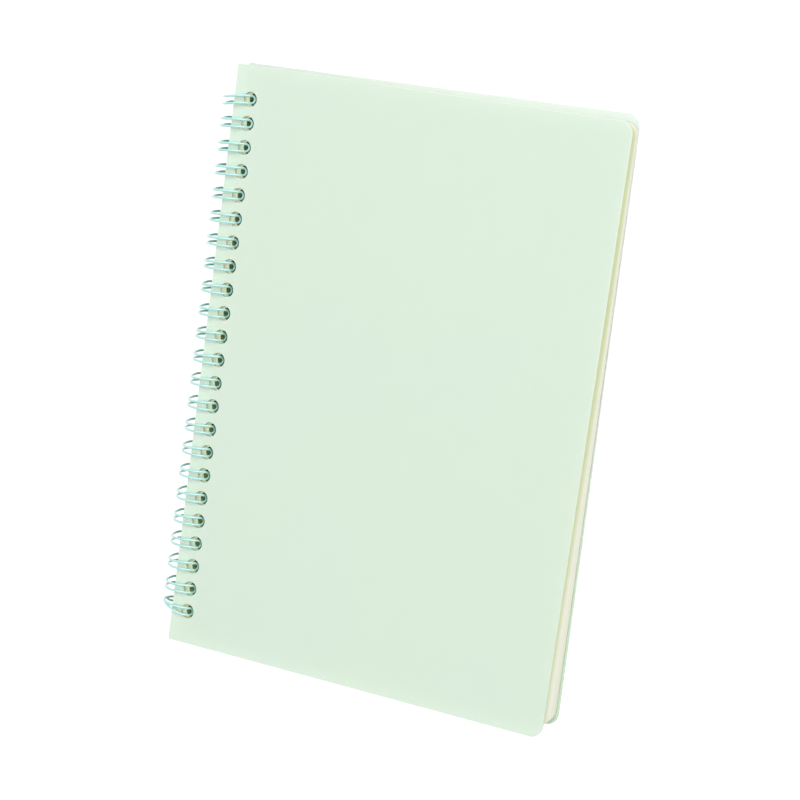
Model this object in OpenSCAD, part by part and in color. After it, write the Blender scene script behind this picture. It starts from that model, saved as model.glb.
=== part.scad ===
// A5 notebook with a twin-loop wire binding, lying on its back cover.
// +X runs from the spine to the fore-edge, +Y up the spine, +Z out of the front cover.
// The origin is the middle of the footprint, at the lowest point of the wire.

/* [Covers] */
// Width of each cover, from the spine edge to the fore-edge
cover_w = 148; // [120:1:180]
// Height of each cover, along the spine
cover_h = 210; // [140:1:300]
// Thickness of each cover sheet
cover_t = 0.6; // [0.4:0.05:1]
// Radius of a cover's two corners at the fore-edge
cover_corner_r = 4.5; // [1:0.5:12]
// Distance from a cover's spine edge to its row of hole centres
hole_edge = 6.4; // [5.8:0.1:7]
// Sideways shift of each cover at its end holes, as it hangs slack in the wire
play = 0.4; // [0:0.05:0.4]
// Angle by which the back cover is cut out of square with its row of holes
back_askew = 0.29; // [0:0.01:0.3]
// How far the back cover is cut off centre from its row of holes, towards the head
back_rise = 0.6; // [0:0.1:1]

/* [Page block] */
// Thickness of the closed block of pages
block_t = 8.4; // [7.6:0.1:9.2]
// How far the covers stand past the pages at the head and the tail
head_overhang = 2; // [0.5:0.1:4]
// How far the covers stand past the pages at the fore-edge
fore_overhang = 0.5; // [0.3:0.1:4]
// Radius of the pages' two corners at the fore-edge
page_corner_r = 4; // [1:0.5:12]
// Distance from the pages' spine edge to their row of hole centres
page_hole_edge = 5.5; // [5:0.1:5.6]
// Gap between the pages and the back cover
back_gap = 0.25; // [0.15:0.05:0.4]

/* [Binding wire] */
// Diameter of the coated wire
wire_d = 0.85; // [0.7:0.05:0.95]
// Distance between loops, three to the inch
pitch = 8.4667; // [8:0.0001:9]
// Least distance from the end hole centres to the ends of a cover
end_margin = 10; // [7:0.5:14]
// Distance between the centre lines of a loop's two strands
strand_gap = 2.6; // [2.2:0.1:2.8]
// How far the centre line of a loop stands past the covers' outer faces
ring_stand = 2; // [1.9:0.05:2.1]
// Distance from a cover's hole centres to where the wire crosses the cover
cross_shift = 0.8; // [0.5:0.1:1]
// Bend radius where a strand turns into the bar to the next loop
bend_r = 0.85; // [0.6:0.05:1.1]
// Room on each side of a pair of strands in its hole
hole_room = 0.875; // [0.8:0.025:1]
// Gap between a bar of the wire and the sheet on each side of it
bar_gap = 0.15; // [0.1:0.05:0.3]
// Height of the closed tips above the bars, between centre lines
tip_rise = 0.25; // [0.2:0.05:0.4]

/* [Hidden] */
// Smallest overrun of a cutting solid
cut = 1;
// Sides of a loop, of a hole and of the wire's section
loop_sides = 48;
hole_sides = 32;
wire_sides = 16;
corner_sides = 64;

hole_d = strand_gap + wire_d + 2 * hole_room;
front_gap = wire_d + 2 * bar_gap;
thickness = 2 * cover_t + front_gap + block_t + back_gap;
ring_r = thickness / 2 + ring_stand;
half_strand = strand_gap / 2;
weld_d = wire_d / pow(cos(180 / wire_sides), 2) + 0.01;

// Row of loops
loop_count = floor((cover_h - 2 * end_margin) / pitch) + 1;
row_half = (loop_count - 1) * pitch / 2;
skew = atan(play / row_half);
back_turn = skew + back_askew;

// Heights of the parts, with the ring axis at axis_z
axis_z = ring_r + wire_d / 2;
back_z = axis_z - thickness / 2;
block_z = back_z + cover_t + back_gap;
front_z = axis_z + thickness / 2 - cover_t;
bar_z = front_z - bar_gap - wire_d / 2;

// Where the rings cross a cover and the pages, from the ring axis
cover_cross = sqrt(pow(ring_r, 2) - pow((thickness - cover_t) / 2, 2));
block_cross = sqrt(pow(ring_r, 2) - pow(axis_z - block_z, 2));
cover_hole_x = cover_cross - cross_shift;
page_hole_x = (ring_r + block_cross) / 2;

// Page block, from the same row of holes
page_h = cover_h - 2 * head_overhang;
page_edge_x = page_hole_x - page_hole_edge;
page_w = cover_hole_x - hole_edge + cover_w - fore_overhang - page_edge_x;

// Angles of a loop, from +X towards +Z, where it turns into a bar and where its tip ends
bar_rise = bar_z - axis_z;
base_angle = asin(bar_rise / norm([ring_r, bend_r])) - atan2(bend_r, ring_r);
tip_angle = asin((bar_rise + tip_rise) / norm([ring_r, half_strand])) + atan2(half_strand, ring_r);

// The ring axis and the middle of the row, placed so that the origin is the middle of the footprint
corner_x = cover_w - hole_edge - cover_corner_r;
corner_y = cover_h / 2 - cover_corner_r;
reach_right = cover_hole_x + corner_x * cos(back_turn) + corner_y * sin(back_turn) + cover_corner_r;
reach_left = ring_r + wire_d / 2;
reach_head = corner_x * sin(back_turn) + corner_y * cos(back_turn) + cover_corner_r + back_rise;
reach_tail = corner_x * sin(skew) + corner_y * cos(skew) + cover_corner_r;
axis_x = (reach_left - reach_right) / 2;
axis_y = (reach_tail - reach_head) / 2;

// Outline of a leaf with square corners at the spine and round ones at the fore-edge
module leaf_outline(w, h, r) {
    union() {
        translate([0, -h / 2]) square([w - r, h]);
        translate([0, r - h / 2]) square([w, h - 2 * r]);
        for (end = [-1, 1]) {
            translate([w - r, end * (h / 2 - r)]) circle(r = r, $fn = corner_sides);
        }
    }
}

// A sheet or block with its row of holes, turned a little about the middle of that row.
// Its outline may be askew to the row and off centre from it.
module punched(w, h, t, r, edge, turn, askew = 0, rise = 0) {
    rotate([0, 0, turn]) {
        difference() {
            translate([0, rise, 0]) {
                rotate([0, 0, askew]) {
                    translate([-edge, 0, 0]) linear_extrude(t) leaf_outline(w, h, r);
                }
            }
            for (i = [0 : loop_count - 1]) {
                translate([0, row_half - i * pitch, -cut]) {
                    cylinder(d = hole_d, h = t + 2 * cut, $fn = hole_sides);
                }
            }
        }
    }
}

// Frosted sheet over the pages, slack in the wire to one side
module front_cover() {
    color([0.85, 0.92, 0.86]) {
        translate([axis_x + cover_hole_x, axis_y, front_z]) {
            punched(cover_w, cover_h, cover_t, cover_corner_r, hole_edge, -skew);
        }
    }
}

// Frosted sheet under the pages, slack to the other side
module back_cover() {
    color([0.83, 0.91, 0.84]) {
        translate([axis_x + cover_hole_x, axis_y, back_z]) {
            punched(cover_w, cover_h, cover_t, cover_corner_r, hole_edge, skew, back_askew, back_rise);
        }
    }
}

// The closed block of cream pages
module page_block() {
    color([0.94, 0.93, 0.84]) {
        translate([axis_x + page_hole_x, axis_y, block_z]) {
            punched(page_w, page_h, block_t, page_corner_r, page_hole_edge, skew);
        }
    }
}

// Part of a ring of wire round the Y axis, between two angles
module wire_arc(r, from, to) {
    rotate([90, 0, 0]) {
        rotate([0, 0, from]) {
            rotate_extrude(angle = to - from, $fn = loop_sides) {
                translate([r, 0]) circle(d = wire_d, $fn = wire_sides);
            }
        }
    }
}

// A bend of wire across a loop, at one angle of the ring
module cross_bend(ring_angle, y, r, from, to) {
    rotate([0, -ring_angle, 0]) {
        translate([ring_r, y, 0]) {
            rotate([0, 90, 0]) {
                rotate([0, 0, from]) {
                    rotate_extrude(angle = to - from, $fn = loop_sides) {
                        translate([r, 0]) circle(d = wire_d, $fn = wire_sides);
                    }
                }
            }
        }
    }
}

// One strand of a loop, from its tip over the spine and up through the pages
module strand(side, last_angle) {
    translate([0, side * half_strand, 0]) wire_arc(ring_r, tip_angle, last_angle);
}

// The joint between two lengths of wire, a hair thicker than they are
module weld(ring_angle, y, rise) {
    rotate([0, -ring_angle, 0]) {
        translate([ring_r, y, rise]) sphere(d = weld_d, $fn = wire_sides);
    }
}

// The round tip that joins a loop's two strands
module tip() {
    cross_bend(tip_angle, 0, half_strand, -90, 90);
    for (side = [-1, 1]) {
        weld(tip_angle, side * half_strand, 0);
    }
}

// The bend from a strand into the bar beside it
module base_bend(side) {
    from = side > 0 ? 180 : 90;
    cross_bend(base_angle, side * (half_strand + bend_r), bend_r, from, from + 90);
    weld(base_angle, side * half_strand, 0);
    weld(base_angle, side * (half_strand + bend_r), bend_r);
}

// The straight bar from one loop to the next
module bar() {
    length = pitch - 2 * (half_strand + bend_r);
    rotate([0, -base_angle, 0]) {
        translate([ring_r, -half_strand - bend_r, bend_r]) {
            rotate([90, 0, 0]) cylinder(d = wire_d, h = length, $fn = wire_sides);
        }
    }
}

// One coated wire: pairs of strands with closed tips, joined by bars at their base.
// The first strand is cut off at the spine, and the last one at its base.
module binding_wire() {
    full_angle = 360 + base_angle;
    color([0.5, 0.8, 0.74]) {
        translate([axis_x, axis_y, axis_z]) {
            union() {
                for (i = [0 : loop_count - 1]) {
                    translate([0, row_half - i * pitch, 0]) {
                        strand(1, i == 0 ? 180 : full_angle);
                        strand(-1, full_angle);
                        tip();
                        if (i > 0) {
                            base_bend(1);
                        }
                        if (i < loop_count - 1) {
                            base_bend(-1);
                            bar();
                        }
                    }
                }
            }
        }
    }
}

front_cover();
back_cover();
page_block();
binding_wire();
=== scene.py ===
import math
import bmesh
import bpy
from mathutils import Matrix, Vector


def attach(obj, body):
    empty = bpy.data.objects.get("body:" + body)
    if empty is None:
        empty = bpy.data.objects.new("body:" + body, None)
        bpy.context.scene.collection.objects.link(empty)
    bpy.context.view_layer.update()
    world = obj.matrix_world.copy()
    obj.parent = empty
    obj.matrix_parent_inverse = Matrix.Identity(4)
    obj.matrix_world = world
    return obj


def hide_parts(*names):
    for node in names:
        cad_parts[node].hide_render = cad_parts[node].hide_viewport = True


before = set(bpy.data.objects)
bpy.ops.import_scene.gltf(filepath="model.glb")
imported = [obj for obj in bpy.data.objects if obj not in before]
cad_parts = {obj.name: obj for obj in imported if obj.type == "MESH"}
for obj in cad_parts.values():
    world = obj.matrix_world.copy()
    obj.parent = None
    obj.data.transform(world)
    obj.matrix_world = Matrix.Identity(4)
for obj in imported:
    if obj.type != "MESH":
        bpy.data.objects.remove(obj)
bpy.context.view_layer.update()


# Camera and studio
# The notebook was photographed lying closed, from above its fore-edge and a little past its
# head. A perspective fit of the covers' sides gave the place, the turn and the lens.
camera_data = bpy.data.cameras.new("camera")
camera_data.lens = 102.357
camera_data.sensor_width = 36
camera_data.clip_start = 0.05
camera_data.clip_end = 20
camera = bpy.data.objects.new("camera", camera_data)
camera.location = (0.32320, 0.12530, 0.71838)
camera.rotation_euler = (-0.102594, 0.438404, 0.143876)
bpy.context.scene.collection.objects.link(camera)
bpy.context.scene.camera = camera
bpy.context.scene.view_settings.view_transform = "Standard"


def fill(tree, node, inputs):
    """Give inputs of a node a value or a link each."""
    for name, value in inputs.items():
        if isinstance(value, bpy.types.NodeSocket):
            tree.links.new(value, node.inputs[name])
        else:
            node.inputs[name].default_value = value


def add(tree, kind, inputs=None, **settings):
    """Add a node with its settings, and give its inputs a value or a link each."""
    node = tree.nodes.new(kind)
    for name, value in settings.items():
        setattr(node, name, value)
    fill(tree, node, inputs or {})
    return node


world = bpy.data.worlds.new("studio")
world.use_nodes = True
fill(world.node_tree, world.node_tree.nodes["Background"], {"Color": (1, 1, 1, 1), "Strength": 0.42})
bpy.context.scene.world = world

# one large softbox high above, to the fore-edge side and past the head
light = bpy.data.lights.new("overhead_softbox", "AREA")
light.energy = 80
light.size = 2.8
lamp = bpy.data.objects.new("overhead_softbox", light)
lamp.location = (0.45, 0.90, 2.50)
lamp.rotation_euler = (-lamp.location).to_track_quat("-Z", "Y").to_euler()
bpy.context.scene.collection.objects.link(lamp)


# Covers
# Two sheets of frosted polypropylene, 0.6 mm thick, die cut with round corners at the
# fore-edge and a row of round holes. They hang on the wire and are slack in it to either side.
MM = 0.001
cover_width = 148
cover_height = 210
cover_thickness = 0.6
corner_radius = 4.5

# the row of holes, with two strands of a loop through each
hole_count = 23
pitch = 8.4667
row_half = (hole_count - 1) * pitch / 2
hole_edge = 6.4
wire_radius = 0.425
half_strand = 1.3
hole_room = 0.875
hole_radius = half_strand + wire_radius + hole_room

# the closed layers inside the ring, of which closed_half is half the thickness, and the heights
# of the ring's middle and of the layers' undersides above the wire's lowest point
bar_gap = 0.15
block_thickness = 8.4
back_gap = 0.25
ring_stand = 2
closed_half = cover_thickness + bar_gap + wire_radius + (block_thickness + back_gap) / 2
ring_radius = closed_half + ring_stand
ring_height = ring_radius + wire_radius
back_bottom = ring_height - closed_half
block_bottom = back_bottom + cover_thickness + back_gap
front_bottom = ring_height + closed_half - cover_thickness

# a loop crosses each cover a little past the middle of its hole
cross_shift = 0.8
cover_hole_x = math.sqrt(ring_radius ** 2 - (closed_half - cover_thickness / 2) ** 2) - cross_shift

# the slack turns the covers against each other, and the back one is cut a little out of square
slack = 0.4
slack_turn = math.atan(slack / row_half)
back_askew = math.radians(0.29)
back_rise = 0.6
back_turn = slack_turn + back_askew

# the origin is the middle of the closed notebook's footprint
corner_x = cover_width - hole_edge - corner_radius
corner_y = cover_height / 2 - corner_radius
fore_edge_reach = cover_hole_x + corner_radius
fore_edge_reach += corner_x * math.cos(back_turn) + corner_y * math.sin(back_turn)
head_reach = back_rise + corner_radius
head_reach += corner_x * math.sin(back_turn) + corner_y * math.cos(back_turn)
tail_reach = corner_radius
tail_reach += corner_x * math.sin(slack_turn) + corner_y * math.cos(slack_turn)
ring_axis = Vector((
    (ring_radius + wire_radius - fore_edge_reach) / 2,
    (tail_reach - head_reach) / 2,
    ring_height,
)) * MM


def leaf_rims(width, height, radius, edge, hole_radius, askew, rise):
    """A leaf's outline, with two round corners, and its row of holes, about the row's middle."""
    half = height / 2
    outline = [(-edge, half), (-edge, -half)]
    corner_steps = 10
    for centre_y, start in ((radius - half, -90), (half - radius, 0)):
        for k in range(corner_steps + 1):
            angle = math.radians(start + 90 * k / corner_steps)
            outline.append((
                width - edge - radius + radius * math.cos(angle),
                centre_y + radius * math.sin(angle),
            ))
    cos, sin = math.cos(askew), math.sin(askew)
    rims = [[(x * cos - y * sin, x * sin + y * cos + rise) for x, y in outline]]
    hole_steps = 40
    for i in range(hole_count):
        y = row_half - i * pitch
        rims.append([
            (hole_radius * math.cos(a), y + hole_radius * math.sin(a))
            for a in (2 * math.pi * k / hole_steps for k in range(hole_steps))
        ])
    return rims


def bevelled_plate(name, rims, thickness, bevel):
    """A flat mesh that is filled between its rims, with the rims bevelled."""
    curve = bpy.data.curves.new(name, "CURVE")
    curve.dimensions = "2D"
    curve.fill_mode = "BOTH"
    for rim in rims:
        spline = curve.splines.new("POLY")
        spline.points.add(len(rim) - 1)
        for point, (x, y) in zip(spline.points, rim):
            point.co = (x * MM, y * MM, 0, 1)
        spline.use_cyclic_u = True
    curve.extrude = (thickness / 2 - bevel) * MM
    curve.bevel_depth = bevel * MM
    curve.bevel_resolution = 1
    curve.offset = -bevel * MM
    flat = bpy.data.objects.new(name + "_flat", curve)
    bpy.context.scene.collection.objects.link(flat)
    evaluated = flat.evaluated_get(bpy.context.evaluated_depsgraph_get())
    mesh = bpy.data.meshes.new_from_object(evaluated)
    bpy.data.objects.remove(flat)
    return mesh


def leaf(
    name, width, height, thickness, radius, edge, hole_x, hole_radius, bevel, bottom, turn,
    askew=0.0, rise=0.0, top_turn=None, top_shift=0.0,
):
    """A punched sheet or block with bevelled rims, as one mesh with its place in it.

    The outline may be askew to the holes, and the top turned and its holes shifted from the
    bottom's.
    """
    rims = leaf_rims(width, height, radius, edge, hole_radius, askew, rise)
    mesh = bevelled_plate(name, rims, thickness, bevel)
    work = bmesh.new()
    work.from_mesh(mesh)
    bmesh.ops.remove_doubles(work, verts=work.verts, dist=0.001 * MM)
    bmesh.ops.recalc_face_normals(work, faces=work.faces)
    for vert in work.verts:
        x, y, z = vert.co
        share = z / (thickness * MM) + 0.5
        angle = turn if top_turn is None else turn + (top_turn - turn) * share
        cos, sin = math.cos(angle), math.sin(angle)
        # the shift comes in over 2 mm from the spine edge and fades out towards the fore-edge
        from_spine = x / MM + edge
        x += top_shift * MM * share * min(1, from_spine / 2) * (1 - from_spine / width)
        vert.co = (
            ring_axis.x + hole_x * MM + x * cos - y * sin,
            ring_axis.y + x * sin + y * cos,
            z + (bottom + thickness / 2) * MM,
        )
    work.to_mesh(mesh)
    work.free()
    mesh.name = name
    piece = bpy.data.objects.new(name, mesh)
    bpy.context.scene.collection.objects.link(piece)
    return piece


def srgb(code):
    """Linear colour from an sRGB hex value."""
    parts = [int(code[i:i + 2], 16) / 255 for i in (0, 2, 4)]
    return [p / 12.92 if p <= 0.04045 else ((p + 0.055) / 1.055) ** 2.4 for p in parts] + [1.0]


def new_material(name):
    """A node material with its tree and shader, and the coordinates that its patterns follow."""
    material = bpy.data.materials.new(name)
    material.use_nodes = True
    tree = material.node_tree
    tree.nodes.clear()
    shader = add(tree, "ShaderNodeBsdfPrincipled")
    add(tree, "ShaderNodeOutputMaterial", {"Surface": shader.outputs["BSDF"]})
    return material, tree, shader, add(tree, "ShaderNodeTexCoord").outputs


# Frosted polypropylene: extruded with a fine matt grain, so it glows softly and shows what
# lies on its underside as a blur. The cut edges carry a painted highlight.
polypropylene, tree, shader, coordinates = new_material("frosted polypropylene")
place = coordinates["Object"]
place_parts = add(tree, "ShaderNodeSeparateXYZ", {"Vector": place})
# grain 0.25 mm wide, and clouds in the tint 60 mm wide
grain = add(tree, "ShaderNodeTexNoise", {"Vector": place, "Scale": 1 / (0.25 * MM), "Detail": 3.0})
bump = add(tree, "ShaderNodeBump", {
    "Height": grain.outputs["Fac"],
    "Strength": 0.15,
    "Distance": 0.02 * MM,
})
cloud = add(tree, "ShaderNodeTexNoise", {"Vector": place, "Scale": 1 / (60 * MM), "Detail": 2.0})
tint = add(tree, "ShaderNodeMix", {
    "Factor": cloud.outputs["Fac"],
    "A": srgb("dff0e3"),
    "B": srgb("e2f1dd"),
}, data_type="RGBA")
# a few specks of dust, about 0.7 mm wide
speck_radius = 0.35
speck_spacing = 40
cells = add(tree, "ShaderNodeTexVoronoi", {"Vector": place, "Scale": 1 / (speck_spacing * MM)})
speck = add(tree, "ShaderNodeMath", {
    0: cells.outputs["Distance"],
    1: speck_radius / speck_spacing,
}, operation="LESS_THAN")
speck_share = add(tree, "ShaderNodeMath", {0: speck.outputs[0], 1: 0.35}, operation="MULTIPLY")
dusty = add(tree, "ShaderNodeMix", {
    "Factor": speck_share.outputs[0],
    "A": tint.outputs["Result"],
    "B": srgb("a5b3a0"),
}, data_type="RGBA")
# the back sheet's margins stand out past the pages, and light and shade are painted on them there:
# painted light, paler at the head, and painted shade, a deeper green towards the tail
margin_blur = 2.5
margins = []
for axis, start in (("X", 75.5), ("Y", 102)):
    margins.append(add(tree, "ShaderNodeMapRange", {
        "Value": place_parts.outputs[axis],
        "From Min": (start - margin_blur) * MM,
        "From Max": start * MM,
    }, interpolation_type="SMOOTHSTEP").outputs["Result"])
in_margin = add(tree, "ShaderNodeMath", {0: margins[0], 1: margins[1]}, operation="MAXIMUM")
towards_head = add(tree, "ShaderNodeMapRange", {
    "Value": place_parts.outputs["Y"],
    "From Min": -80 * MM,
    "From Max": 20 * MM,
})
back_sheet = add(tree, "ShaderNodeMath", {
    0: place_parts.outputs["Z"],
    1: ring_axis.z,
}, operation="LESS_THAN")
back_margin = add(tree, "ShaderNodeMath", {
    0: back_sheet.outputs[0],
    1: in_margin.outputs[0],
}, operation="MULTIPLY")
margin_painted_light_share = add(tree, "ShaderNodeMath", {0: back_margin.outputs[0], 1: 0.35}, operation="MULTIPLY")
margin_painted_light_tone = add(tree, "ShaderNodeMix", {
    "Factor": towards_head.outputs["Result"],
    "A": srgb("b6e0ae"),
    "B": srgb("e7e7ef"),
}, data_type="RGBA")
margin_with_painted_light = add(tree, "ShaderNodeMix", {
    "Factor": margin_painted_light_share.outputs[0],
    "A": dusty.outputs["Result"],
    "B": margin_painted_light_tone.outputs["Result"],
}, data_type="RGBA")
# the cut edges carry a painted highlight, whiter towards the head
facing = add(tree, "ShaderNodeSeparateXYZ", {"Vector": coordinates["Normal"]})
level = add(tree, "ShaderNodeMath", {0: facing.outputs["Z"]}, operation="ABSOLUTE")
cut_edge = add(tree, "ShaderNodeMath", {0: level.outputs[0], 1: 0.95}, operation="LESS_THAN")
cut_edge_painted_highlight = add(tree, "ShaderNodeMix", {
    "Factor": towards_head.outputs["Result"],
    "A": srgb("e0f1dc"),
    "B": srgb("fcfefa"),
}, data_type="RGBA")
sheet_tone = add(tree, "ShaderNodeMix", {
    "Factor": cut_edge.outputs[0],
    "A": margin_with_painted_light.outputs["Result"],
    "B": cut_edge_painted_highlight.outputs["Result"],
}, data_type="RGBA")
fill(tree, shader, {
    "Base Color": sheet_tone.outputs["Result"],
    "Normal": bump.outputs["Normal"],
    "Roughness": 0.65,
    "Specular IOR Level": 0.35,
    "IOR": 1.49,
    "Transmission Weight": 0.22,
})

for name, bottom, turn, askew, rise, body in (
    ("front_cover", front_bottom, -slack_turn, 0, 0, "front"),
    ("back_cover", back_bottom, slack_turn, back_askew, back_rise, "back"),
):
    sheet = leaf(
        name + "_sheet",
        width=cover_width,
        height=cover_height,
        thickness=cover_thickness,
        radius=corner_radius,
        edge=hole_edge,
        hole_x=cover_hole_x,
        hole_radius=hole_radius,
        bevel=0.14,
        bottom=bottom,
        turn=turn,
        askew=askew,
        rise=rise,
    )
    sheet.data.materials.append(polypropylene)
    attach(sheet, body)
    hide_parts(name)


# Page block
# About 80 leaves of cream writing paper with faint ruled lines, cut square at the head, tail
# and fore-edge with round corners, and punched on the same pitch as the covers. The slack lets
# the leaves fan out: the top one lies as the front cover does, and the bottom one as the back.
head_overhang = 2
fore_overhang = 0.5
page_edge = 5.5
# the pages' holes lie midway between where a loop enters the block and the ring's far side
inner_cross = math.sqrt(ring_radius ** 2 - (ring_height - block_bottom) ** 2)
page_hole_x = (inner_cross + ring_radius) / 2
fore_edge = cover_hole_x - hole_edge + cover_width - fore_overhang
block = leaf(
    "page_leaves",
    width=fore_edge - page_hole_x + page_edge,
    height=cover_height - 2 * head_overhang,
    thickness=block_thickness,
    radius=4,
    edge=page_edge,
    hole_x=page_hole_x,
    hole_radius=2.45,
    bevel=0.06,
    bottom=block_bottom,
    turn=slack_turn + math.radians(0.06),
    rise=0.3,
    top_turn=-slack_turn,
    top_shift=-0.75,
)
# Offset paper: matt and cream, with rough cut edges, so the leaves show as fine stripes.
paper, tree, shader, coordinates = new_material("cream offset paper")
place_parts = add(tree, "ShaderNodeSeparateXYZ", {"Vector": coordinates["Object"]})
# leaf edges: 0.1 mm of paper each, drawn in bundles of 0.4 mm so that they show
leaf_edges = add(tree, "ShaderNodeTexNoise", {
    "W": place_parts.outputs["Z"],
    "Scale": 1 / (0.4 * MM),
    "Detail": 2.0,
}, noise_dimensions="1D")
edge_tone = add(tree, "ShaderNodeValToRGB", {"Fac": leaf_edges.outputs["Fac"]})
stops = (0.35, "e7e7d0"), (0.65, "f5f5ea")
for element, (position, code) in zip(edge_tone.color_ramp.elements, stops):
    element.position = position
    element.color = srgb(code)
# ruled lines on the top and bottom leaves
rule_spacing = 8
rule_width = 0.3
rule_phase = add(tree, "ShaderNodeMath", {
    0: place_parts.outputs["Y"],
    1: 1 / (rule_spacing * MM),
}, operation="MULTIPLY")
rule_part = add(tree, "ShaderNodeMath", {0: rule_phase.outputs[0]}, operation="FRACT")
rule = add(tree, "ShaderNodeMath", {
    0: rule_part.outputs[0],
    1: rule_width / rule_spacing,
}, operation="LESS_THAN")
page_tone = add(tree, "ShaderNodeMix", {
    "Factor": rule.outputs[0],
    "A": srgb("e6e4cd"),
    "B": srgb("98a694"),
}, data_type="RGBA")
# The punched walls of the holes carry painted shade, and the leaves near them painted green light.
# The walls lie between two distances from the ring's middle, and not far past the row's ends.
walls_from = 2.3
walls_to = 9.9
walls_past_row = 4
by_row = add(tree, "ShaderNodeMath", {
    0: place_parts.outputs["X"],
    1: ring_axis.x + walls_to * MM,
}, operation="LESS_THAN")
off_spine = add(tree, "ShaderNodeMath", {
    0: place_parts.outputs["X"],
    1: ring_axis.x + walls_from * MM,
}, operation="GREATER_THAN")
in_row = add(tree, "ShaderNodeMath", {
    0: place_parts.outputs["Y"],
    1: ring_axis.y,
    2: (row_half + walls_past_row) * MM,
}, operation="COMPARE")
among_holes = add(tree, "ShaderNodeMath", {
    0: by_row.outputs[0],
    1: off_spine.outputs[0],
}, operation="MULTIPLY")
in_holes = add(tree, "ShaderNodeMath", {
    0: among_holes.outputs[0],
    1: in_row.outputs[0],
}, operation="MULTIPLY")
# painted green light on the leaves near the holes
faces_with_painted_green_light = add(tree, "ShaderNodeMix", {
    "Factor": by_row.outputs[0],
    "A": page_tone.outputs["Result"],
    "B": srgb("e2e8c7"),
}, data_type="RGBA")
# The edges of the upper leaves carry painted shade under the front cover and painted green light
# from the frosted cover, over more of them towards the head. Halfway up the spine the green comes in
# between two heights.
green_from = 6.4
green_to = 11.2
rise_to_head = 0.02
higher = add(tree, "ShaderNodeMath", {
    0: place_parts.outputs["Y"],
    1: rise_to_head,
    2: place_parts.outputs["Z"],
}, operation="MULTIPLY_ADD")
near_top = add(tree, "ShaderNodeMapRange", {
    "Value": higher.outputs[0],
    "From Min": green_from * MM,
    "From Max": green_to * MM,
    "To Max": 0.95,
}, interpolation_type="SMOOTHSTEP")
painted_olive_share = add(tree, "ShaderNodeMath", {
    0: near_top.outputs["Result"],
    1: off_spine.outputs[0],
}, operation="MULTIPLY")
edges_with_painted_olive = add(tree, "ShaderNodeMix", {
    "Factor": painted_olive_share.outputs[0],
    "A": edge_tone.outputs["Color"],
    "B": srgb("ced8a1"),
}, data_type="RGBA")
# painted shade: the walls of the holes are painted dark olive
sides_with_painted_shade = add(tree, "ShaderNodeMix", {
    "Factor": in_holes.outputs[0],
    "A": edges_with_painted_olive.outputs["Result"],
    "B": srgb("7c9462"),
}, data_type="RGBA")
facing = add(tree, "ShaderNodeSeparateXYZ", {"Vector": coordinates["Normal"]})
level = add(tree, "ShaderNodeMath", {0: facing.outputs["Z"]}, operation="ABSOLUTE")
flat_side = add(tree, "ShaderNodeMath", {0: level.outputs[0], 1: 0.99}, operation="GREATER_THAN")
paper_tone = add(tree, "ShaderNodeMix", {
    "Factor": flat_side.outputs[0],
    "A": sides_with_painted_shade.outputs["Result"],
    "B": faces_with_painted_green_light.outputs["Result"],
}, data_type="RGBA")
edge_bump = add(tree, "ShaderNodeBump", {
    "Height": leaf_edges.outputs["Fac"],
    "Strength": 0.4,
    "Distance": 0.05 * MM,
})
fill(tree, shader, {
    "Base Color": paper_tone.outputs["Result"],
    "Normal": edge_bump.outputs["Normal"],
    "Roughness": 0.85,
})
block.data.materials.append(paper)
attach(block, "pages")
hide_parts("page_block")


# Binding wire
# One length of 0.85 mm steel wire with a mint coating, bent into double loops. Each loop's
# round tip closes down through the front cover's hole, between the bars that join the loops.
bend_radius = 0.85
tip_rise = 0.25
# where a strand turns into the bar beside it, and where the tip ends a little above the bars
bar_rise = closed_half - cover_thickness - bar_gap - wire_radius
base_lean = math.atan2(bend_radius, ring_radius)
base_angle = math.degrees(math.asin(bar_rise / math.hypot(ring_radius, bend_radius)) - base_lean)
tip_lean = math.atan2(half_strand, ring_radius)
tip_sine = (bar_rise + tip_rise) / math.hypot(ring_radius, half_strand)
tip_angle = math.degrees(math.asin(tip_sine) + tip_lean)


def on_ring(angle, y, along=0.0):
    """A point of the ring at an angle, moved a distance along the tangent there."""
    a = math.radians(angle)
    return (
        ring_radius * math.cos(a) - along * math.sin(a),
        y,
        ring_radius * math.sin(a) + along * math.cos(a),
    )


def half_loop(side):
    """From a loop's tip round one strand to the middle of the bar beside it."""
    path = []
    tip_steps = 8
    for k in range(1, tip_steps + 1):
        turn = math.radians(90 * k / tip_steps)
        y = side * half_strand * math.sin(turn)
        path.append(on_ring(tip_angle, y, -half_strand * math.cos(turn)))
    arc_steps = 66
    for k in range(1, arc_steps + 1):
        angle = tip_angle + (360 + base_angle - tip_angle) * k / arc_steps
        path.append(on_ring(angle, side * half_strand))
    bend_steps = 5
    for k in range(1, bend_steps + 1):
        turn = math.radians(90 * k / bend_steps)
        y = side * (half_strand + bend_radius * (1 - math.cos(turn)))
        path.append(on_ring(base_angle, y, bend_radius * math.sin(turn)))
    path.append(on_ring(base_angle, side * pitch / 2, bend_radius))
    return path


loop_path = half_loop(1)[::-1] + [on_ring(tip_angle, 0, -half_strand)] + half_loop(-1)
loop_curve = bpy.data.curves.new("wire_loop", "CURVE")
loop_curve.dimensions = "3D"
spline = loop_curve.splines.new("POLY")
spline.points.add(len(loop_path) - 1)
for point, (x, y, z) in zip(spline.points, loop_path):
    point.co = (ring_axis.x + x * MM, ring_axis.y + (row_half + y) * MM, ring_axis.z + z * MM, 1)
wire = bpy.data.objects.new("wire_loops", loop_curve)
bpy.context.scene.collection.objects.link(wire)
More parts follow.
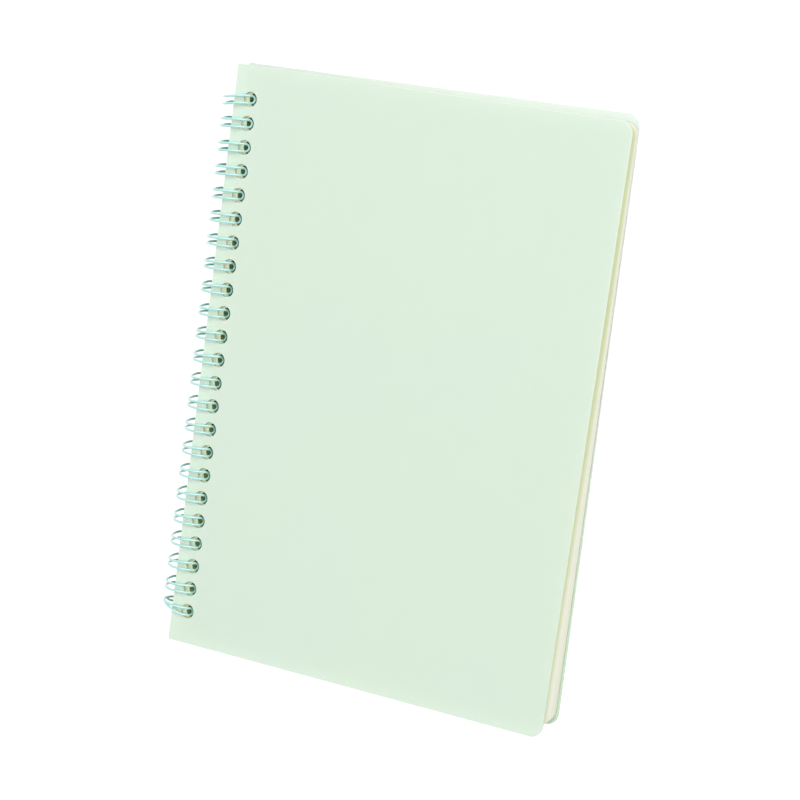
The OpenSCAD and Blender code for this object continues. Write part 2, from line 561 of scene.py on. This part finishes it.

# Enamelled steel: a smooth mint coat over drawn wire, glossy, with small dull patches 1.5 mm
# wide. Its top is painted paler as painted light, and below the spine it is painted a deeper green
# as painted shade.
enamel, tree, shader, coordinates = new_material("mint enamel on steel wire")
place = coordinates["Object"]
place_parts = add(tree, "ShaderNodeSeparateXYZ", {"Vector": place})
patch = add(tree, "ShaderNodeTexNoise", {"Vector": place, "Scale": 1 / (1.5 * MM), "Detail": 2.0})
painted_light_coat = add(tree, "ShaderNodeMix", {
    "Factor": patch.outputs["Fac"],
    "A": srgb("ace0da"),
    "B": srgb("b8e8e4"),
}, data_type="RGBA")
painted_shade_height = 5.5
painted_light_height = 13.2
painted_light_by_height = add(tree, "ShaderNodeMapRange", {
    "Value": place_parts.outputs["Z"],
    "From Min": painted_shade_height * MM,
    "From Max": painted_light_height * MM,
}, interpolation_type="SMOOTHSTEP")
coat_with_painted_light = add(tree, "ShaderNodeMix", {
    "Factor": painted_light_by_height.outputs["Result"],
    "A": srgb("5a9f90"),
    "B": painted_light_coat.outputs["Result"],
}, data_type="RGBA")
# The tips, down in their holes, carry painted shade in the deeper green as well, but less so near the
# head.
# It comes in between two distances from the ring's middle.
tip_from = 4.9
tip_to = 6.2
tip_painted_shade_share = add(tree, "ShaderNodeMapRange", {
    "Value": place_parts.outputs["Y"],
    "From Min": 30 * MM,
    "From Max": 80 * MM,
    "To Min": 0.8,
    "To Max": 0.25,
})
tip_painted_shade = add(tree, "ShaderNodeMapRange", {
    "Value": place_parts.outputs["X"],
    "From Min": ring_axis.x + tip_from * MM,
    "From Max": ring_axis.x + tip_to * MM,
    "To Max": tip_painted_shade_share.outputs["Result"],
}, interpolation_type="SMOOTHSTEP")
coat = add(tree, "ShaderNodeMix", {
    "Factor": tip_painted_shade.outputs["Result"],
    "A": coat_with_painted_light.outputs["Result"],
    "B": srgb("4b8068"),
}, data_type="RGBA")
dull = add(tree, "ShaderNodeMapRange", {"Value": patch.outputs["Fac"], "To Min": 0.24, "To Max": 0.36})
fill(tree, shader, {
    "Base Color": coat.outputs["Result"],
    "Roughness": dull.outputs["Result"],
    "Coat Weight": 1.0,
    "Coat Roughness": 0.22,
    "Coat IOR": 1.6,
})

loops = bpy.data.node_groups.new("wire loops along the spine", "GeometryNodeTree")
loops.is_modifier = True
loops.interface.new_socket("Loop", in_out="INPUT", socket_type="NodeSocketGeometry")
sizes = {}
for name, kind, value in (
    ("Loop count", "NodeSocketInt", hole_count),
    ("Pitch", "NodeSocketFloat", pitch * MM),
    ("Wire radius", "NodeSocketFloat", wire_radius * MM),
    ("Lean at the spine", "NodeSocketFloat", 0.45 * MM),
    ("Lean spread", "NodeSocketFloat", 0.2 * MM),
    ("Lean at the head", "NodeSocketFloat", 0.35 * MM),
    ("First loop's lean", "NodeSocketFloat", 0.65 * MM),
    ("Last loop's lean", "NodeSocketFloat", -2.3 * MM),
    ("Bulge at the tail", "NodeSocketFloat", 0.35 * MM),
    ("Reach at the head", "NodeSocketFloat", 0.4 * MM),
    ("Narrowing", "NodeSocketFloat", 0.2),
    ("Last loop's narrowing", "NodeSocketFloat", 0.72),
):
    socket = loops.interface.new_socket(name, in_out="INPUT", socket_type=kind)
    sizes[socket.identifier] = value
loops.interface.new_socket("Wire", in_out="OUTPUT", socket_type="NodeSocketGeometry")
given = add(loops, "NodeGroupInput").outputs
step = add(loops, "ShaderNodeMath", {0: given["Pitch"], 1: -1}, operation="MULTIPLY").outputs[0]
offset = add(loops, "ShaderNodeCombineXYZ", {"Y": step}).outputs[0]
row = add(loops, "GeometryNodeMeshLine", {"Count": given["Loop count"], "Offset": offset})
placed = add(loops, "GeometryNodeInstanceOnPoints", {
    "Points": row.outputs["Mesh"],
    "Instance": given["Loop"],
})
numbered = add(loops, "GeometryNodeStoreNamedAttribute", {
    "Geometry": placed.outputs["Instances"],
    "Name": "loop",
    "Value": add(loops, "GeometryNodeInputIndex").outputs["Index"],
}, data_type="INT", domain="INSTANCE")
real = add(loops, "GeometryNodeRealizeInstances", {"Geometry": numbered.outputs["Geometry"]})

# The first loop's upper strand is cut off at the spine, and the last one's lower at its base.
# The tips end before one distance from the ring's middle, and the bars begin past it.
bars_from = 6.15
hair = 0.01
spot = add(loops, "GeometryNodeInputPosition").outputs["Position"]
spot_parts = add(loops, "ShaderNodeSeparateXYZ", {"Vector": spot}).outputs
below_axis = add(loops, "FunctionNodeCompare", {
    "A": spot_parts["Z"],
    "B": ring_axis.z - hair * MM,
}, data_type="FLOAT", operation="LESS_THAN")
by_bars = add(loops, "FunctionNodeCompare", {
    "A": spot_parts["X"],
    "B": ring_axis.x + bars_from * MM,
}, data_type="FLOAT", operation="GREATER_THAN")
first_strand = add(loops, "FunctionNodeCompare", {
    "A": spot_parts["Y"],
    "B": ring_axis.y + (row_half + hair) * MM,
}, data_type="FLOAT", operation="GREATER_THAN")
last_bar = add(loops, "FunctionNodeCompare", {
    "A": spot_parts["Y"],
    "B": ring_axis.y - (row_half + half_strand + hair) * MM,
}, data_type="FLOAT", operation="LESS_THAN")
past_spine = add(loops, "FunctionNodeBooleanMath", {
    0: below_axis.outputs[0],
    1: by_bars.outputs[0],
}, operation="OR")
first_end = add(loops, "FunctionNodeBooleanMath", {
    0: first_strand.outputs[0],
    1: past_spine.outputs[0],
}, operation="AND")
both_ends = add(loops, "FunctionNodeBooleanMath", {
    0: first_end.outputs[0],
    1: last_bar.outputs[0],
}, operation="OR")
cut = add(loops, "GeometryNodeDeleteGeometry", {
    "Geometry": real.outputs["Geometry"],
    "Selection": both_ends.outputs[0],
}, domain="POINT")

# Away from the holes the loops lean towards the tail, but the last one towards the head. Their
# strands come closer together there, except near the head, and the loops near the tail bulge a
# little further out, all of it less below the ring's middle, where the front cover swings through.
# The tips near the head reach a little further into their holes.
loop_number = add(loops, "GeometryNodeInputNamedAttribute", {"Name": "loop"}, data_type="INT").outputs[0]
eased = {}
for name, value, low, high, start, end in (
    ("towards the spine", spot_parts["X"], ring_axis.x - ring_radius * MM, ring_axis.x + 5 * MM, 1, 0),
    ("above the axis", spot_parts["Z"], ring_axis.z - 3 * MM, ring_axis.z + 1.5 * MM, 0.45, 1),
    ("leaning more", loop_number, 2, 6, 1, 0),
    ("first", loop_number, 0.2, 0.8, 1, 0),
    ("last", loop_number, hole_count - 1.8, hole_count - 1.2, 0, 1),
    ("narrower", loop_number, 3, 9, 0, 1),
    ("bulging", loop_number, 13, hole_count - 2, 0, 1),
    ("reaching", loop_number, 2, 17, 1, 0),
):
    eased[name] = add(loops, "ShaderNodeMapRange", {
        "Value": value,
        "From Min": low,
        "From Max": high,
        "To Min": start,
        "To Max": end,
    }, interpolation_type="SMOOTHSTEP").outputs["Result"]
spread = add(loops, "FunctionNodeRandomValue", {
    "Max": given["Lean spread"],
    "ID": loop_number,
    "Seed": 4,
}, data_type="FLOAT")
# each row adds or multiplies, and later rows read it by its name
sums = {}
for name, operation, terms in (
    ("share", "MULTIPLY", (eased["towards the spine"], eased["above the axis"])),
    ("lean", "ADD", (given["Lean at the spine"], spread.outputs[1])),
    ("lean", "MULTIPLY_ADD", (eased["leaning more"], given["Lean at the head"], "lean")),
    ("lean", "MULTIPLY_ADD", (eased["first"], given["First loop's lean"], "lean")),
    ("lean", "MULTIPLY_ADD", (eased["last"], given["Last loop's lean"], "lean")),
    ("middle", "MULTIPLY_ADD", (loop_number, step, ring_axis.y + row_half * MM)),
    ("aside", "SUBTRACT", (spot_parts["Y"], "middle")),
    ("narrowing", "MULTIPLY", (eased["narrower"], given["Narrowing"])),
    ("narrowing", "MULTIPLY_ADD", (eased["last"], given["Last loop's narrowing"], "narrowing")),
    ("tailwards", "MULTIPLY_ADD", ("aside", "narrowing", "lean")),
    ("away", "MULTIPLY", ("share", -1)),
    ("shift_y", "MULTIPLY", ("tailwards", "away")),
    ("bulge", "MULTIPLY", (eased["bulging"], given["Bulge at the tail"])),
    ("reach", "MULTIPLY", (eased["reaching"], given["Reach at the head"])),
    ("by_tip", "ADD", ("away", 1)),
    ("reach", "MULTIPLY", ("reach", "by_tip")),
    ("shift_x", "MULTIPLY_ADD", ("bulge", "away", "reach")),
):
    inputs = {k: sums[term] if isinstance(term, str) else term for k, term in enumerate(terms)}
    sums[name] = add(loops, "ShaderNodeMath", inputs, operation=operation).outputs[0]
shift = add(loops, "ShaderNodeCombineXYZ", {"X": sums["shift_x"], "Y": sums["shift_y"]})
leaning = add(loops, "GeometryNodeSetPosition", {
    "Geometry": cut.outputs["Geometry"],
    "Offset": shift.outputs["Vector"],
})
section = add(loops, "GeometryNodeCurvePrimitiveCircle", {
    "Resolution": 12,
    "Radius": given["Wire radius"],
})
tube = add(loops, "GeometryNodeCurveToMesh", {
    "Curve": leaning.outputs["Geometry"],
    "Profile Curve": section.outputs["Curve"],
})
welded = add(loops, "GeometryNodeMergeByDistance", {
    "Geometry": tube.outputs["Mesh"],
    "Distance": 0.01 * MM,
})
smooth = add(loops, "GeometryNodeSetShadeSmooth", {"Geometry": welded.outputs["Geometry"]})
coated = add(loops, "GeometryNodeSetMaterial", {
    "Geometry": smooth.outputs["Geometry"],
    "Material": enamel,
})
add(loops, "NodeGroupOutput", {"Wire": coated.outputs["Geometry"]})

maker = wire.modifiers.new("loops", "NODES")
maker.node_group = loops
for identifier, value in sizes.items():
    maker[identifier] = value
evaluated = wire.evaluated_get(bpy.context.evaluated_depsgraph_get())
wire_mesh = bpy.data.meshes.new_from_object(evaluated)
bpy.data.objects.remove(wire)
work = bmesh.new()
work.from_mesh(wire_mesh)
open_edges = [edge for edge in work.edges if edge.is_boundary]
for cap in bmesh.ops.holes_fill(work, edges=open_edges)["faces"]:
    cap.material_index = 1
    cap.smooth = False
bmesh.ops.recalc_face_normals(work, faces=work.faces)
work.to_mesh(wire_mesh)
work.free()
# Bare steel: the two cut ends of the wire, where the mint coat stops and dull metal shows.
bare_steel, tree, shader, coordinates = new_material("bare steel")
fill(tree, shader, {"Base Color": srgb("6e6d66"), "Metallic": 1.0, "Roughness": 0.5})
wire_mesh.materials.append(bare_steel)
wire_piece = bpy.data.objects.new("wire_loops", wire_mesh)
bpy.context.scene.collection.objects.link(wire_piece)
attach(wire_piece, "pages")
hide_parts("binding_wire")


# Table top
# A white table top, lit from below as well, under the notebook. The notebook rests on its wire
# and on the back cover's fore-edge, so in the notebook's own frame the table leans by about
# 1 degree.
table_lean = math.atan(back_bottom / fore_edge_reach)
# half of its side in metres, large enough to fill the picture from above
table_half = 12.0
table_mesh = bpy.data.meshes.new("table_top")
corners = []
for x, y in ((-1, -1), (1, -1), (1, 1), (-1, 1)):
    corners.append((
        ring_axis.x + x * table_half * math.cos(table_lean),
        y * table_half,
        x * table_half * math.sin(table_lean),
    ))
table_mesh.from_pydata(corners, [], [(0, 1, 2, 3)])
table_top = bpy.data.objects.new("table_top", table_mesh)
bpy.context.scene.collection.objects.link(table_top)

# Opal acrylic: even white with its own soft glow, so that no shadow spreads on it.
opal, tree, shader, coordinates = new_material("opal acrylic")
fill(tree, shader, {
    "Base Color": srgb("707070"),
    "Roughness": 0.7,
    "Emission Color": (1, 1, 1, 1),
    "Emission Strength": 0.95,
})
table_mesh.materials.append(opal)
